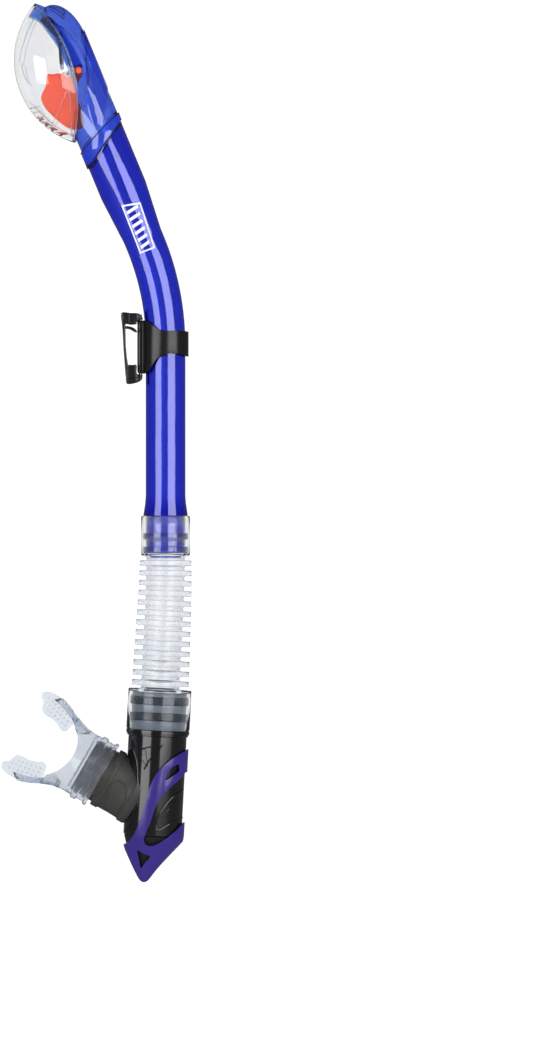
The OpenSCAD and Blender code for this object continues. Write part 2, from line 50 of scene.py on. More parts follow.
# ----------------------------------------
# The tube: one blown length of clear blue plastic. It stands straight above the
# hose, bends once, widens towards the head and is cut off on a slant there.
# Its foot is a plug with two ridges that the hose's cuff grips.
TUBE_R = 11.0
TUBE_WALL = 1.8
BEND_R = 147.0
BEND_ANGLE = math.radians(22.5)
BEND_LEN = BEND_R * BEND_ANGLE
STRAIGHT = 94.0
FLARE = 11.0
PLUG_LEN = 20.4
CONE = 27.0
HEAD_R = 13.4
COLLAR_Z = 57.4
COLLAR_SLANT = math.radians(33)


def begin(ob_name, add, **how):
    """Adds one primitive with nothing else selected and opens it in edit mode."""
    bpy.ops.object.select_all(action="DESELECT")
    add(**how)
    ob = bpy.context.object
    ob.name = ob.data.name = ob_name
    bpy.ops.object.transform_apply(location=True, rotation=True, scale=True)
    bpy.ops.object.mode_set(mode="EDIT")
    return ob


def object_mode():
    bpy.ops.object.mode_set(mode="OBJECT")


def only(ob):
    bpy.ops.object.select_all(action="DESELECT")
    ob.select_set(True)
    bpy.context.view_layer.objects.active = ob


def edit_all(ob):
    """Opens one piece in edit mode with all of it selected."""
    only(ob)
    bpy.ops.object.mode_set(mode="EDIT")
    bpy.ops.mesh.select_all(action="SELECT")


def close_up():
    """Turns all faces outwards and leaves edit mode."""
    bpy.ops.mesh.select_all(action="SELECT")
    bpy.ops.mesh.normals_make_consistent(inside=False)
    object_mode()


def loop_of(ob_name, points):
    """A closed wire with one corner for each point, in millimetres, left in edit mode."""
    ob = begin(ob_name, bpy.ops.mesh.primitive_circle_add, vertices=len(points), radius=1)
    mesh = bmesh.from_edit_mesh(ob.data)
    for vert, point in zip(mesh.verts, points):
        vert.co = Vector(point) * MM
    bmesh.update_edit_mesh(ob.data)
    return ob


def outline(ob_name, points):
    """A closed wire in X and Z, left in edit mode."""
    return loop_of(ob_name, [(x, 0, z) for x, z in points])


def lathe(ob_name, profile, steps=96):
    """Spins a closed outline of (radius, height) points all the way round Z."""
    ob = outline(ob_name, profile)
    bpy.ops.mesh.select_all(action="SELECT")
    bpy.ops.mesh.spin(steps=steps, angle=math.tau, center=(0, 0, 0), axis=(0, 0, 1))
    bpy.ops.mesh.select_all(action="SELECT")
    bpy.ops.mesh.remove_doubles(threshold=1e-6)
    bpy.ops.mesh.dissolve_degenerate(threshold=1e-6)
    bpy.ops.mesh.delete_loose(use_verts=True, use_edges=True, use_faces=False)
    close_up()
    return ob


def bend(ob, start, length, angle, upward=True, steps=20):
    """Bends a straight piece round Y, a slice at a time, along its centre line."""
    only(ob)
    bpy.ops.object.mode_set(mode="EDIT")
    side = 1 if upward else -1
    centre = Vector((0, 0, start))
    heading = 0.0
    for step in range(steps + 1):
        bpy.ops.mesh.select_all(action="SELECT")
        bpy.ops.mesh.bisect(plane_co=(0, 0, (start + side * length * step / steps) * MM),
                            plane_no=(0, 0, 1))
    object_mode()
    for vert in ob.data.vertices:
        run = side * (vert.co.z / MM - start)
        if run <= 0:
            continue
        done = min(run / length, 1) * angle
        radius = length / angle
        spine = Vector((radius * (1 - math.cos(done)), 0, side * radius * math.sin(done)))
        if run > length:
            spine += Vector((math.sin(angle), 0, side * math.cos(angle))) * (run - length)
        across = vert.co.x / MM
        lean = Vector((math.cos(done), 0, -side * math.sin(done))) * across
        place = Vector((0, 0, start)) + spine + lean
        vert.co = Vector((place.x * MM, vert.co.y, place.z * MM))


def soften(ob, width, segments=3, angle=35):
    """Rounds the edges that are sharper than the angle."""
    only(ob)
    mod = ob.modifiers.new("edges", "BEVEL")
    mod.width = width * MM
    mod.segments = segments
    mod.limit_method = "ANGLE"
    mod.angle_limit = math.radians(angle)
    bpy.ops.object.modifier_apply(modifier=mod.name)


def smooth(ob, angle=40):
    only(ob)
    bpy.ops.object.shade_smooth_by_angle(angle=math.radians(angle))


def place(ob, matrix):
    """Moves a piece from its own frame into the snorkel's and applies the move."""
    only(ob)
    ob.matrix_world = matrix
    bpy.ops.object.transform_apply(location=True, rotation=True, scale=True)


def tip(degrees):
    return Matrix.Rotation(math.radians(degrees), 4, "Y")


def shift(x, y, z):
    return Matrix.Translation(Vector((x, y, z)) * MM)


IN_HEAD = (shift(-BEND_R * (1 - math.cos(BEND_ANGLE)), 0, BEND_R * math.sin(BEND_ANGLE))
           @ tip(-22.5))


def cut_off(ob, matrix, point, normal, fill=False, drop=True):
    """Cuts a piece with a plane given in a frame and drops the side the normal points to."""
    edit_all(ob)
    bpy.ops.mesh.bisect(plane_co=matrix @ (Vector(point) * MM),
                        plane_no=matrix.to_3x3() @ Vector(normal),
                        clear_outer=drop, use_fill=fill)
    object_mode()


def cloud(tree, scale, detail):
    """A noise pattern that is fixed to the piece."""
    where = tree.nodes.new("ShaderNodeTexCoord")
    noise = tree.nodes.new("ShaderNodeTexNoise")
    noise.inputs["Scale"].default_value = scale
    noise.inputs["Detail"].default_value = detail
    tree.links.new(where.outputs["Object"], noise.inputs["Vector"])
    return noise.outputs["Fac"]


def ramp(tree, value, low, high, start=0.0, end=1.0):
    """Turns a value that runs from start to end into one from low to high."""
    node = tree.nodes.new("ShaderNodeMapRange")
    node.inputs["From Min"].default_value = start
    node.inputs["From Max"].default_value = end
    node.inputs["To Min"].default_value = low
    node.inputs["To Max"].default_value = high
    tree.links.new(value, node.inputs["Value"])
    return node


def moulded(mat_name, colour, spread, pattern, gloss):
    """A plastic whose colour varies by the spread, and whose roughness runs over gloss."""
    mat = bpy.data.materials.new(mat_name)
    mat.use_nodes = True
    tree = mat.node_tree
    bsdf = tree.nodes["Principled BSDF"]
    fac = cloud(tree, *pattern)
    tint = tree.nodes.new("ShaderNodeMix")
    tint.data_type = "RGBA"
    tint.inputs["A"].default_value = (*[c * (1 - spread) for c in colour], 1)
    tint.inputs["B"].default_value = (*[min(1, c * (1 + spread)) for c in colour], 1)
    tree.links.new(fac, tint.inputs["Factor"])
    tree.links.new(tint.outputs["Result"], bsdf.inputs["Base Color"])
    tree.links.new(ramp(tree, fac, *gloss).outputs["Result"], bsdf.inputs["Roughness"])
    return mat, bsdf, fac


def relief(mat, bsdf, height, strength, depth):
    """Raises the pattern a little in the surface; depth is in metres."""
    bump = mat.node_tree.nodes.new("ShaderNodeBump")
    bump.inputs["Strength"].default_value = strength
    bump.inputs["Distance"].default_value = depth
    mat.node_tree.links.new(height, bump.inputs["Height"])
    mat.node_tree.links.new(bump.outputs["Normal"], bsdf.inputs["Normal"])


def clear_plastic(mat_name, colour, through, rough=0.04, ior=1.5, grain=0.02, coat=0.0,
                  dye=None, depth=0.0):
    """Moulded clear plastic or silicone with a faint flow pattern in its gloss.

    A dyed plastic also takes up light along the way through its wall."""
    mat, bsdf, flow = moulded(mat_name, colour, 0.1, (55, 4), (rough * 0.6, rough * 1.6))
    bsdf.inputs["Transmission Weight"].default_value = through
    bsdf.inputs["IOR"].default_value = ior
    bsdf.inputs["Coat Weight"].default_value = coat
    bsdf.inputs["Coat Roughness"].default_value = 0.03
    if dye:
        nodes = mat.node_tree.nodes
        inside = nodes.new("ShaderNodeVolumeAbsorption")
        inside.inputs["Color"].default_value = (*dye, 1)
        inside.inputs["Density"].default_value = depth
        mat.node_tree.links.new(inside.outputs["Volume"],
                                nodes["Material Output"].inputs["Volume"])
    relief(mat, bsdf, flow, grain, 0.0005)
    return mat


def wear(ob, mat):
    ob.data.materials.clear()
    ob.data.materials.append(mat)


RIDGE = 1.6
RIDGE_TALL = 3.6
ridges = []
for share in (0.46, 0.82):
    top = -STRAIGHT - share * PLUG_LEN
    ridges += [(TUBE_R, top), (TUBE_R + RIDGE, top), (TUBE_R + RIDGE, top - RIDGE_TALL),
               (TUBE_R, top - RIDGE_TALL)]
ridges[-1] = (TUBE_R, -STRAIGHT - PLUG_LEN)
tube = lathe("blue_tube", [
    (TUBE_R - TUBE_WALL, -STRAIGHT - PLUG_LEN), (TUBE_R - TUBE_WALL, BEND_LEN + 4),
    (HEAD_R - 2, BEND_LEN + 4 + CONE), (HEAD_R - 2, BEND_LEN + 82),
    (HEAD_R - 0.1, BEND_LEN + 82), (HEAD_R - 0.1, BEND_LEN + 4 + CONE), (TUBE_R, BEND_LEN + 4),
    (TUBE_R, -STRAIGHT + FLARE), (TUBE_R + 0.35, -STRAIGHT + 0.62 * FLARE),
    (TUBE_R + 1.35, -STRAIGHT), (TUBE_R, -STRAIGHT)] + ridges, steps=128)
bend(tube, 0, BEND_LEN, -BEND_ANGLE, steps=28)
slant = (-math.sin(COLLAR_SLANT), 0, math.cos(COLLAR_SLANT))
SCORE = 0.8
cut_off(tube, IN_HEAD, (0, 0, COLLAR_Z - SCORE), slant, drop=False)
cut_off(tube, IN_HEAD, (0, 0, COLLAR_Z), slant)
only(tube)
bpy.ops.object.mode_set(mode="EDIT")
bpy.ops.mesh.select_mode(type="EDGE")
bpy.ops.mesh.select_all(action="DESELECT")
bpy.ops.mesh.select_non_manifold(extend=False, use_wire=False, use_boundary=True,
                                 use_multi_face=False, use_non_contiguous=False,
                                 use_verts=False)
bpy.ops.mesh.bridge_edge_loops()
object_mode()
soften(tube, 0.25, 2)
smooth(tube)
wear(tube, clear_plastic("blue_tube_plastic", (0.9, 0.92, 1.0), 1.0, ior=1.55, grain=0.03,
                         coat=1.0, dye=(0.016, 0.17, 0.86), depth=1100))
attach(tube, "tube")
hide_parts("upper_tube")

# ----------------------------------------
# The head's back shell: one clear blue moulding that is half of a pointed oval
# and, behind it, a straight pipe with a domed crown. A raised swoosh runs down
# each side, and a collar with a slanted foot sits on the tube.
CHAMBER_HALF_LEN = 40.0
CHAMBER_HALF_W = 21.7
SHELL_WALL = 1.6
RIM_R = 73.4
RIM_X = 10.7 - RIM_R
BACK_TOP = 119.0
CROWN = 22.0
IN_CHAMBER = IN_HEAD @ shift(-10.2, 0, 105.2) @ tip(6.6)


def oval_r(half_len, half_w, z):
    """Radius of the pointed oval at a height along its axis."""
    arc = (half_len ** 2 + half_w ** 2) / (2 * half_w)
    return max(0.0, math.sqrt(max(0.0, arc ** 2 - z ** 2)) - arc + half_w)


def oval(ob_name, inset, rings=40):
    """A solid pointed oval in the chamber's frame, smaller all round by the inset."""
    half_len, half_w = CHAMBER_HALF_LEN - inset, CHAMBER_HALF_W - inset
    profile = []
    for ring in range(rings + 1):
        z = -half_len + 2 * half_len * ring / rings
        profile.append((oval_r(half_len, half_w, z), z))
    ob = lathe(ob_name, profile)
    place(ob, IN_CHAMBER)
    return ob


def pipe(ob_name, radius, bottom, top, crown=0):
    """A solid round bar on the head's axis, with a domed end if it has a crown."""
    profile = [(0, bottom), (radius, bottom)]
    for ring in range(13):
        turn = math.pi / 2 * ring / 12
        profile.append((radius * math.cos(turn), top + crown * math.sin(turn)))
        if not crown:
            profile += [(0, top)]
            break
    ob = lathe(ob_name, profile)
    place(ob, IN_HEAD)
    return ob


def curve_through(points, between=6, closed=False):
    """More points on a smooth curve through the given ones."""
    count = len(points)
    result = []
    for i in range(count if closed else count - 1):
        around = []
        for j in (i - 1, i, i + 1, i + 2):
            around.append(points[j % count if closed else min(max(j, 0), count - 1)])
        for step in range(between):
            t = step / between
            result.append(tuple(
                0.5 * (2 * b + (c - a) * t + (2 * a - 5 * b + 4 * c - d) * t * t
                       + (3 * b - a - 3 * c + d) * t ** 3)
                for a, b, c, d in zip(*around)))
    if not closed:
        result.append(tuple(points[-1]))
    return result


def draw_out(start, end):
    """Fills a flat wire that is open in edit mode and draws it out from start to end."""
    bpy.ops.mesh.select_all(action="SELECT")
    bpy.ops.mesh.edge_face_add()
    bpy.ops.transform.translate(value=[a * MM for a in start])
    bpy.ops.mesh.extrude_region_move(
        TRANSFORM_OT_translate={"value": [(b - a) * MM for a, b in zip(start, end)]})
    close_up()


def plate(ob_name, points, near, far, matrix=Matrix.Identity(4)):
    """A flat outline in X and Z, filled and drawn out along Y from near to far."""
    ob = outline(ob_name, points)
    draw_out((0, near, 0), (0, far, 0))
    place(ob, matrix)
    return ob


def carve(ob, other, how="DIFFERENCE", keep=False):
    """Adds, cuts or keeps the common part of another solid, which is then removed."""
    only(ob)
    mod = ob.modifiers.new("carve", "BOOLEAN")
    mod.operation = how
    mod.solver = "EXACT"
    mod.object = other
    bpy.ops.object.modifier_apply(modifier=mod.name)
    if not keep:
        bpy.data.objects.remove(other, do_unlink=True)


def neat(ob):
    """Merges points that lie on each other and clears slivers after a cut."""
    close = 0.02
    edit_all(ob)
    bpy.ops.mesh.remove_doubles(threshold=close * MM)
    bpy.ops.mesh.dissolve_degenerate(threshold=close * MM)
    object_mode()


def drum(ob_name, radius, x):
    """A round bar across the snorkel in the chamber's frame."""
    ob = begin(ob_name, bpy.ops.mesh.primitive_cylinder_add, vertices=256,
               radius=radius * MM, depth=60 * MM, rotation=(math.pi / 2, 0, 0))
    object_mode()
    place(ob, IN_CHAMBER @ shift(x, 0, 0))
    return ob


SWOOSH_PROUD = 0.6
shell = oval("head_shell_blue", 0)
carve(shell, pipe("back", HEAD_R, COLLAR_Z - 14, BACK_TOP, CROWN), "UNION")
swoosh = curve_through([(24.1, 27.4), (21.2, 14), (18.6, 0), (15.2, -13), (12.8, -24),
                        (12.6, -33), (17.2, -33.5), (22.2, -25), (25.6, -17), (28, -5),
                        (30.5, 6), (34, 20)], 5, closed=True)
raised = oval("swoosh", -SWOOSH_PROUD)
carve(raised, pipe("swoosh_back", HEAD_R + SWOOSH_PROUD, COLLAR_Z - 4, BACK_TOP, CROWN + 0.5),
      "UNION")
carve(raised, plate("swoosh_shape", swoosh, -40, 40, IN_CHAMBER), "INTERSECT")
carve(shell, raised, "UNION")
collar = pipe("collar", HEAD_R + 0.7, COLLAR_Z - 16, COLLAR_Z + 30)
cut_off(collar, IN_HEAD, (0, 0, COLLAR_Z + 7.4), (-0.414, 0, 0.91), fill=True)
carve(shell, collar, "UNION")
carve(shell, oval("hollow", SHELL_WALL))
carve(shell, pipe("back_hollow", HEAD_R - SHELL_WALL, COLLAR_Z - 20, BACK_TOP,
                  CROWN - SHELL_WALL))
carve(shell, drum("front", RIM_R, RIM_X))
cut_off(shell, IN_HEAD, (0, 0, COLLAR_Z + SCORE), [-part for part in slant], fill=True)
neat(shell)
soften(shell, 0.22, 2, 50)
smooth(shell, 32)
wear(shell, clear_plastic("blue_shell_plastic", (0.9, 0.95, 1.0), 1.0, ior=1.55, grain=0.02,
                          coat=1.0, dye=(0.012, 0.27, 0.9), depth=720))
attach(shell, "tube")
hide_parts("head_shell")


def satin(mat_name, colour, rough=0.35, spread=0.12, scale=40, grain=0.05, metal=0.0,
          coat=0.0, specks=600):
    """Opaque moulded plastic, rubber or metal with a fine grain and uneven gloss."""
    mat, bsdf, _ = moulded(mat_name, colour, spread, (scale, 5), (rough * 0.8, rough * 1.25))
    bsdf.inputs["Metallic"].default_value = metal
    bsdf.inputs["Coat Weight"].default_value = coat
    bsdf.inputs["Coat Roughness"].default_value = 0.08
    relief(mat, bsdf, cloud(mat.node_tree, specks, 2), grain, 0.0003)
    return mat


# ----------------------------------------
# The gasket between the tube and the head: a thin navy rubber ring, squeezed in
# the slanted joint.
navy = satin("navy_rubber", (0.012, 0.012, 0.06), 0.5)
wear(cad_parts["head_gasket"], navy)

# ----------------------------------------
# The dome: a clear moulded half oval that closes the float's chamber. Its rim is
# a bead that meets the blue shell, and water gets in by a row of slots low down.
DOME_WALL = 1.6


def wire(ob_name, points, radius, closed=False, matrix=Matrix.Identity(4)):
    """A round bead of plastic along a line of points given in millimetres."""
    if len(points) < 3:
        start, end = points
        points = [start, tuple((a + b) / 2 for a, b in zip(start, end)), end]
    ob = loop_of(ob_name, points)
    if not closed:
        mesh = bmesh.from_edit_mesh(ob.data)
        mesh.verts.ensure_lookup_table()
        mesh.edges.remove(mesh.edges.get((mesh.verts[len(points) - 1], mesh.verts[0])))
        bmesh.update_edit_mesh(ob.data)
    object_mode()
    only(ob)
    bpy.ops.object.convert(target="CURVE")
    ob = bpy.context.object
    ob.data.bevel_depth = radius * MM
    ob.data.bevel_resolution = 2
    ob.data.use_fill_caps = True
    bpy.ops.object.convert(target="MESH")
    ob = bpy.context.object
    place(ob, matrix)
    smooth(ob, 60)
    return ob


def on_oval(x, z, side, proud=0.0):
    """The point of the pointed oval's outside at a given x and z, on one side."""
    radius = oval_r(CHAMBER_HALF_LEN, CHAMBER_HALF_W, z) + proud
    return (x, side * math.sqrt(max(0.0, radius ** 2 - x ** 2)), z)


def joined(ob_name, pieces):
    only(pieces[0])
    for piece in pieces:
        piece.select_set(True)
    bpy.ops.object.join()
    pieces[0].name = pieces[0].data.name = ob_name
    return pieces[0]


SLOT_SIZE = Vector((CHAMBER_HALF_W, 4, 1.8)) * MM
SLOT_PITCH = 3.6
dome = oval("clear_dome", 0)
carve(dome, oval("dome_hollow", DOME_WALL))
carve(dome, drum("behind", RIM_R, RIM_X), "INTERSECT")
for row in range(4):
    for side in (-1, 1):
        spot = Vector((-CHAMBER_HALF_W / 2, side * SLOT_PITCH, -22 - SLOT_PITCH * row)) * MM
        slot = begin("slot", bpy.ops.mesh.primitive_cube_add, size=1, location=spot)
        bpy.ops.transform.resize(value=SLOT_SIZE, center_override=spot)
        object_mode()
        place(slot, IN_CHAMBER)
        carve(dome, slot)
neat(dome)
smooth(dome, 35)

rim = []
for step in range(120):
    turn = math.tau * step / 120
    z = 38.0 * math.cos(turn)
    x = RIM_X + math.sqrt(RIM_R ** 2 - z ** 2)
    rim.append(on_oval(x - 0.35, z, 1 if math.sin(turn) > 0 else -1))
beads = [wire("rim_bead", rim, 0.5, closed=True, matrix=IN_CHAMBER)]
for side in (-1, 1):
    for line in ([(-10.2, -28.3), (-7.4, -26.1), (-2.2, -20), (2.2, -14.6), (3.6, -13.2),
                  (4.6, -14.4), (4, -19), (2.2, -24.4), (0.6, -31), (-0.3, -36.4)],
                 [(-17.2, -12.4), (-13.6, -19.5), (-8.5, -27.6), (-2.6, -33.8), (1.2, -36.6)],
                 [(-17, 10), (-13.2, 17.2), (-8.2, 24.6), (-2.4, 31.2)],
                 [(-15.2, -3), (-16.4, 3.5), (-15.8, 9)]):
        points = [on_oval(x, z, side, -0.1) for x, z in curve_through(line, 6)]
        beads.append(wire("rib", points, 0.32, matrix=IN_CHAMBER))
    for row in range(7):
        z = -15.5 - 2.9 * row
        edge = oval_r(CHAMBER_HALF_LEN, CHAMBER_HALF_W, z)
        points = [on_oval(-edge * share, z - 3.2 * (0.97 - share), side, -0.1)
                  for share in (0.97, 0.9, 0.82, 0.74, 0.67)]
        beads.append(wire("bar", points, 0.26, matrix=IN_CHAMBER))
glass = clear_plastic("clear_dome_plastic", (0.93, 0.95, 0.97), 1.0, rough=0.02, grain=0.015)
dome = joined("clear_dome", [dome] + beads)
wear(dome, glass)
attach(dome, "tube")
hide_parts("dome")

# ----------------------------------------
# Painted shade in the head's creases: a navy bead along the groove round the top of the
# collar and a navy pointed bead round the small hollow on each side of the crown.
COLLAR_LINE = COLLAR_Z + 7.6
COLLAR_R = HEAD_R + 0.62
COLLAR_RISE = 0.455
groove = []
for step in range(64):
    turn = math.tau * step / 64
    across = COLLAR_R * math.cos(turn)
    groove.append((across, COLLAR_R * math.sin(turn), COLLAR_LINE + COLLAR_RISE * across))
shade_marks = [wire("groove", groove, 0.3, closed=True, matrix=IN_HEAD)]
for side in (-1, 1):
    eye = []
    for x, z in curve_through([(0.9, 140.4), (3.1, 139.8), (5.4, 138.6), (7, 136.8),
                               (7.5, 134.6), (6.5, 132.3), (4.7, 135.1), (2.6, 138.2)],
                              4, closed=True):
        depth = 1 - (x / HEAD_R) ** 2 - ((z - BACK_TOP) / CROWN) ** 2
        eye.append((x, side * (HEAD_R - 0.1) * math.sqrt(max(0.004, depth)), z - 0.25))
    shade_marks.append(wire("crown_rim", eye, 0.3, closed=True, matrix=IN_HEAD))
shade_marks = joined("head_painted_shade_lines", shade_marks)
# The navy beads are painted shade for the groove and the hollow's rim, not a second plastic.
wear(shade_marks, satin("navy_painted_groove_shade", (0.008, 0.012, 0.09), 0.3))
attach(shade_marks, "tube")

# ----------------------------------------
# The print: a thin white frame with plain slanted bars in it, pad-printed on one
# side of the tube where it starts to widen. It has no letters.
PRINT_TOP_R = 12.7
INK_OUT = 0.12
INK_IN = 0.15
film = lathe("film", [(TUBE_R - INK_IN, -6), (TUBE_R + INK_OUT, -6), (TUBE_R + INK_OUT, 4),
                      (PRINT_TOP_R + INK_OUT, 24), (PRINT_TOP_R - INK_IN, 24),
                      (TUBE_R - INK_IN, 4)], 128)
place(film, IN_HEAD)
panel = plate("panel", [(-4.9, -5.1), (3.9, -5.3), (6.1, 20.9), (-4.3, 23.2)], -30, 0, IN_HEAD)
carve(panel, plate("panel_room", [(-4.1, -4.3), (3.1, -4.5), (5.2, 20), (-3.5, 22.1)], -31, 1,
                   IN_HEAD))
prints = [panel]
for step in range(6):
    low, right = -3 + 4.05 * step, 2.3 + 0.33 * step
    prints.append(plate("bar", [(-3.2, low), (right, low + 1.3), (right, low + 3),
                                (-3.2, low + 1.7)], -30, 0, IN_HEAD))
for piece in prints:
    carve(piece, film, "INTERSECT", keep=True)
bpy.data.objects.remove(film, do_unlink=True)
panel = joined("white_print", prints)
smooth(panel, 30)
wear(panel, satin("white_ink", (0.8, 0.82, 0.9), 0.4, 0.04, 80))
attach(panel, "tube")

# ----------------------------------------
# The valve: a blue duct with pointed cheeks inside the shell, a dark flap with a
# silicone face on a steel pin, and the orange float on its own pin. The pin's
# ends wear orange caps, and each arm of the float carries a white roller.
PIVOT = (12.9, -3.5)
ROLLER_X = 6.7
sky_plastic = clear_plastic("blue_housing_plastic", (0.9, 0.96, 1.0), 1.0, rough=0.08,
                            dye=(0.05, 0.5, 0.93), depth=1400)
wear(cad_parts["valve_housing"], sky_plastic)
cheeks = oval("housing_cheeks", DOME_WALL + 0.15)
carve(cheeks, oval("cheek_room", DOME_WALL + 1.35))
cheek = curve_through([(-8.5, 34.6), (-5, 32.8), (-1, 29.7), (2.6, 22), (5.5, 13.4), (7, 4),
                       (7.4, -3), (8.3, -13.1), (8.1, -23.9), (9.9, -30.7), (8.6, -34.3)], 4)
carve(cheeks, plate("cheek_shape", cheek + [(40, -34.3), (40, 38), (-8.5, 38)], -40, 40,
                    IN_CHAMBER), "INTERSECT")
carve(cheeks, drum("cheek_back", RIM_R - 0.3, RIM_X), "INTERSECT")
neat(cheeks)
smooth(cheeks, 35)
wear(cheeks, sky_plastic)
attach(cheeks, "tube")
steel = satin("steel", (0.62, 0.62, 0.64), 0.22, metal=1.0)
for node in ("float_pin", "flap_pin", "loop_pin"):
    wear(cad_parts[node], steel)
wear(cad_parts["valve_flap"], satin("flap_plastic", (0.01, 0.012, 0.05), 0.25))
milky = clear_plastic("seal_silicone", (0.85, 0.87, 0.9), 0.5, rough=0.3, ior=1.41)
for node in ("flap_seal", "purge_valve"):
    wear(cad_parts[node], milky)
wear(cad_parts["roller_pins"], satin("pin_plastic", (0.008, 0.008, 0.03), 0.3))
wear(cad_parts["port_seal"], satin("black_rubber", (0.02, 0.02, 0.02), 0.55))

body = plate("orange_float", curve_through(
    [(-4.2, -0.6), (-1, -1.2), (2.4, -1.8), (4.4, -6), (8, -9), (8.4, -20), (8.4, -29),
     (7, -33.5), (2.5, -33), (-2.6, -29.3), (-7, -23.2), (-9.9, -18), (-10.8, -12.7),
     (-9.7, -9.9), (-6.4, -6)], 4, closed=True), -10, 10, IN_CHAMBER)
inside = oval("float_room", 4)
carve(inside, pipe("float_back", HEAD_R - 3.0, 60, 110), "UNION")
carve(body, inside, "INTERSECT")
across = IN_CHAMBER @ Matrix.Rotation(math.pi / 2, 4, "Z")
carve(body, plate("taper", [(-10, 1), (-10, -24), (-4, -34.5), (4, -34.5), (10, -24), (10, 1)],
                  -20, 20, across), "INTERSECT")
neat(body)
soften(body, 0.8, 4, 40)
pieces = [body]
for side in (-1, 1):
    inner, outer = sorted((side * 9.4, side * 11.8))
    arm = plate("arm", curve_through(
        [(-1, -2.7), (2.5, -2.2), (ROLLER_X, PIVOT[1] + 1.9), (PIVOT[0], PIVOT[1] + 1.9),
         (PIVOT[0] + 1.9, PIVOT[1]), (PIVOT[0], PIVOT[1] - 1.9), (ROLLER_X + 1, -10.8),
         (2, -11.2), (-1, -11)], 4, closed=True), inner, outer, IN_CHAMBER)
    soften(arm, 0.3, 2, 40)
    pieces.append(arm)
float_piece = joined("orange_float", pieces)
smooth(float_piece, 20)
orange = satin("orange_plastic_painted_glow", (0.95, 0.085, 0.03), 0.45, 0.06, 60, 0.12)
# Painted glow: the orange plastic emits light of its own at strength 0.25, so the float behind
# the dome and the pin caps look brighter than the lamps alone make them.
glow = orange.node_tree.nodes["Principled BSDF"].inputs
glow["Emission Color"].default_value = (1, 0.1, 0.03, 1)
glow["Emission Strength"].default_value = 0.25
wear(float_piece, orange)
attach(float_piece, "float")
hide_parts("float")

CAP_R = 1.9
CAP_OUT = 16.7
caps = []
for side in (-1, 1):
    cap = begin("pin_cap", bpy.ops.mesh.primitive_uv_sphere_add, segments=32, ring_count=16,
                radius=CAP_R * MM)
    object_mode()
    place(cap, IN_CHAMBER @ shift(PIVOT[0], side * CAP_OUT, PIVOT[1]))
    caps.append(cap)
caps = joined("pin_caps", caps)
smooth(caps, 60)
wear(caps, orange)
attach(caps, "tube")

rollers = []
for side in (-1, 1):
    ring = lathe("roller", [(0.82, -0.55), (1.0, -0.62), (1.55, -0.62), (1.8, -0.4), (1.8, 0.4),
                            (1.55, 0.62), (1.0, 0.62), (0.82, 0.55)], 40)
    place(ring, IN_CHAMBER @ shift(ROLLER_X, side * 12.4, PIVOT[1])
          @ Matrix.Rotation(math.pi / 2, 4, "X"))
    rollers.append(ring)
rollers = joined("white_rollers", rollers)
smooth(rollers, 35)
wear(rollers, satin("white_acetal", (0.86, 0.86, 0.85), 0.3))
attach(rollers, "float")
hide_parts("float_rollers")

# ----------------------------------------
# The hose: one soft clear silicone moulding. A plain cuff grips the tube's plug,
# thirteen fins stiffen the bore, and a wide cuff grips the purge chamber's neck.
# It is bent a little, once, between the tube and the chamber.
HOSE_R = 10.5
HOSE_BORE = 9.0
FINS = 13
FIN_PITCH = 5.5
FIN_T = 3.1
CUFF_TOP = -STRAIGHT
CUFF_FOOT = -STRAIGHT - 22
HOSE_BEND = -STRAIGHT - 36.9
HOSE_TILT = 3
LOWER_CUFF = HOSE_BEND - 58.3
LOWER_CUFF_FOOT = LOWER_CUFF - 22.3
IN_LOWER = shift(0, 0, HOSE_BEND) @ tip(HOSE_TILT)

hose_side = [(12.75, CUFF_TOP - 0.2), (13.15, CUFF_TOP), (13.5, CUFF_TOP - 0.8),
             (13.5, CUFF_FOOT + 1.2), (13.2, CUFF_FOOT + 0.3), (12.2, CUFF_FOOT),
             (HOSE_R + 0.3, CUFF_FOOT - 0.5), (HOSE_R, CUFF_FOOT - 1.2)]
for fin in range(FINS):
    middle = CUFF_FOOT - 3.9 - FIN_PITCH * fin
    reach = 14.3 + 1.4 * fin / (FINS - 1)
    for radius, z in ((HOSE_R, 0.5), (HOSE_R + 0.25, 0.16), (HOSE_R + 0.8, 0.02),
                      (reach - 0.5, -0.06), (reach - 0.1, -0.2), (reach, -0.42)):
        hose_side.append((radius, middle + FIN_T / 2 + z))
    for radius, z in ((reach, -0.42), (reach - 0.1, -0.2), (reach - 0.5, -0.06),
                      (HOSE_R + 0.8, 0.02), (HOSE_R + 0.25, 0.16), (HOSE_R, 0.5)):
        hose_side.append((radius, middle - FIN_T / 2 - z))
hose_side += [(HOSE_R, LOWER_CUFF + 0.8), (HOSE_R + 0.8, LOWER_CUFF + 0.1), (16.6, LOWER_CUFF),
              (17.2, LOWER_CUFF - 0.2), (17.4, LOWER_CUFF - 0.8),
              (17.4, LOWER_CUFF_FOOT + 0.5), (17.1, LOWER_CUFF_FOOT), (16.35, LOWER_CUFF_FOOT),
              (16.25, LOWER_CUFF_FOOT + 0.3), (16.25, LOWER_CUFF - 1.7),
              (HOSE_BORE, LOWER_CUFF - 1.7), (HOSE_BORE, CUFF_FOOT + 0.6),
              (HOSE_BORE + 0.3, CUFF_FOOT + 1.4), (12.65, CUFF_FOOT + 1.4)]
hose = lathe("clear_hose", hose_side, steps=112)
bend(hose, -116, 29.8, -math.radians(HOSE_TILT), upward=False, steps=4)
smooth(hose, 50)
wear(hose, clear_plastic("clear_silicone", (0.93, 0.94, 0.96), 1.0, rough=0.04, ior=1.33,
                         grain=0.04, dye=(0.8, 0.84, 0.9), depth=60))
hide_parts("flex_hose")
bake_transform(hose)

